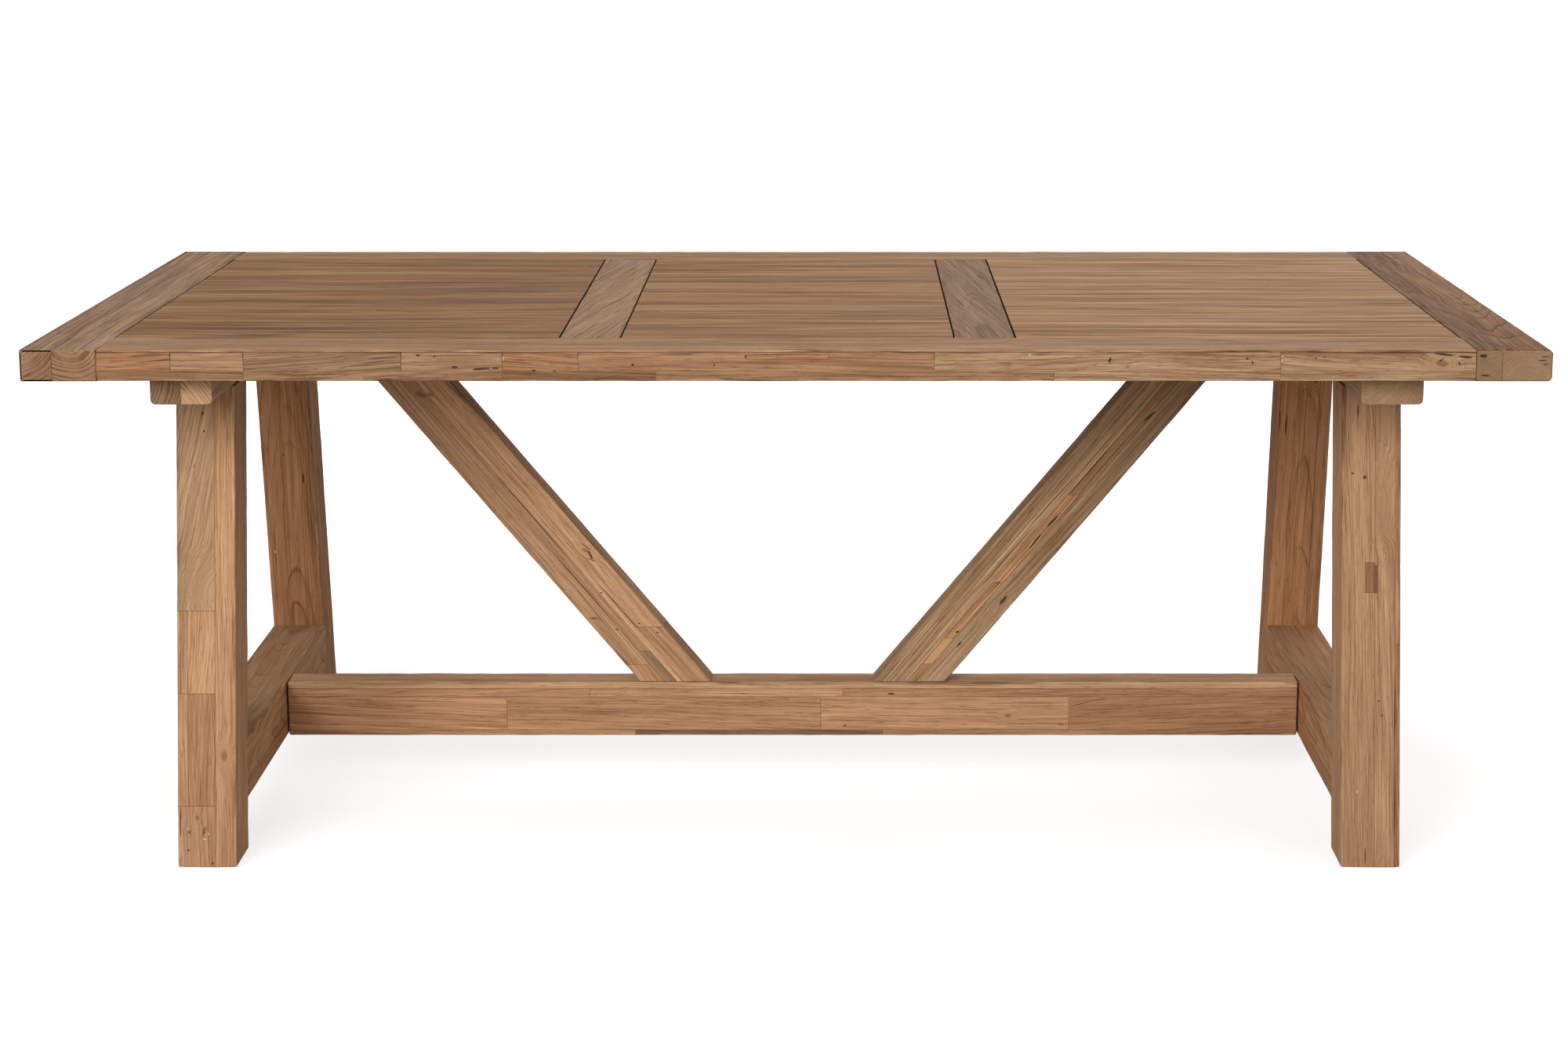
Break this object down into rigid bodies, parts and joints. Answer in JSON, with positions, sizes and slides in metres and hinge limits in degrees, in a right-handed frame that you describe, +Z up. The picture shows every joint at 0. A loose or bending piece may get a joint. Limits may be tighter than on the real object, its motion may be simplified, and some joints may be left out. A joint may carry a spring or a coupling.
{
  "type": "trestle dining table",
  "caption": "Rectangular solid-wood dining table: framed plank top on splayed A-shaped trestles, joined by a low stretcher with braces rising in a V to the top.",
  "frame": {"origin": "on the floor, under the middle of the top", "axes": "+X along the table to the right, +Y from the front edge to the back, +Z up"},
  "size_m": [2, 1, 0.735],
  "materials": {
    "frame_wood": "matt oiled, brushed",
    "grey_wood": "matt, weathered grey",
    "panel_wood": "matt oiled",
    "base_wood": "matt oiled",
    "zinc_steel": "zinc plated"
  },
  "bodies": {
    "root": {"back_rail": "frame_wood", "barrel_nuts": "zinc_steel", "bearer_left": "base_wood", "bearer_right": "base_wood", "bolt_washers": "zinc_steel", "brace_cleat_left": "base_wood", "brace_cleat_right": "base_wood", "brace_left": "base_wood", "brace_right": "base_wood", "cleat_screws": "zinc_steel", "cross_board_left": "grey_wood", "cross_board_right": "grey_wood", "cross_rail_left": "base_wood", "cross_rail_right": "base_wood", "end_board_left": "frame_wood", "end_board_right": "frame_wood", "front_rail": "frame_wood", "left_panel_stave_1": "panel_wood", "left_panel_stave_2": "panel_wood", "left_panel_stave_3": "panel_wood", "left_panel_stave_4": "panel_wood", "left_panel_stave_5": "panel_wood", "left_panel_stave_6": "panel_wood", "left_panel_stave_7": "panel_wood", "left_panel_stave_8": "panel_wood", "leg_back_left": "base_wood", "leg_back_right": "base_wood", "leg_front_left": "base_wood", "leg_front_right": "base_wood", "middle_panel_stave_1": "panel_wood", "middle_panel_stave_2": "panel_wood", "middle_panel_stave_3": "panel_wood", "middle_panel_stave_4": "panel_wood", "middle_panel_stave_5": "panel_wood", "middle_panel_stave_6": "panel_wood", "middle_panel_stave_7": "panel_wood", "middle_panel_stave_8": "panel_wood", "right_panel_stave_1": "panel_wood", "right_panel_stave_2": "panel_wood", "right_panel_stave_3": "panel_wood", "right_panel_stave_4": "panel_wood", "right_panel_stave_5": "panel_wood", "right_panel_stave_6": "panel_wood", "right_panel_stave_7": "panel_wood", "right_panel_stave_8": "panel_wood", "stretcher": "base_wood", "stretcher_bolts": "zinc_steel", "top_screws": "zinc_steel"}
  },
  "joints": []
}
